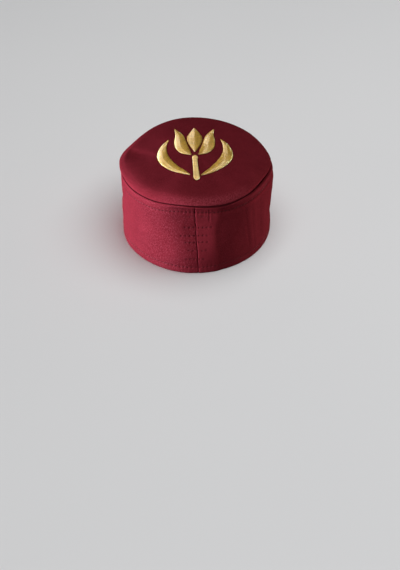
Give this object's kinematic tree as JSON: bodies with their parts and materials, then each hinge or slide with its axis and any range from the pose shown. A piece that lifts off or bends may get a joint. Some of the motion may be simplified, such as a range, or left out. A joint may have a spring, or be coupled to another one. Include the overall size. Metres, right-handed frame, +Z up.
{
  "type": "prayer cap",
  "caption": "Brimless oval cloth prayer cap: a stiff upright stitched band, a flat crown with a soft rolled edge, an open head hollow and a raised gold embroidered tulip.",
  "frame": {"origin": "centre of the cap's bounding box in plan, at the height of the hem that it stands on", "axes": "+Z up from the hem to the crown, +Y towards the back seam (the wearer faces -Y), +X to the wearer's left"},
  "size_m": [0.1734, 0.2042, 0.0945],
  "materials": {
    "burgundy_cloth": "satiny twill weave",
    "gold_thread": "glossy satin stitch"
  },
  "bodies": {
    "root": {"band": "burgundy_cloth", "crown": "burgundy_cloth", "tulip_stem": "gold_thread", "tulip_leaf_left": "gold_thread", "tulip_leaf_right": "gold_thread", "tulip_petal_left": "gold_thread", "tulip_petal_right": "gold_thread", "tulip_petal_centre": "gold_thread"}
  },
  "joints": []
}
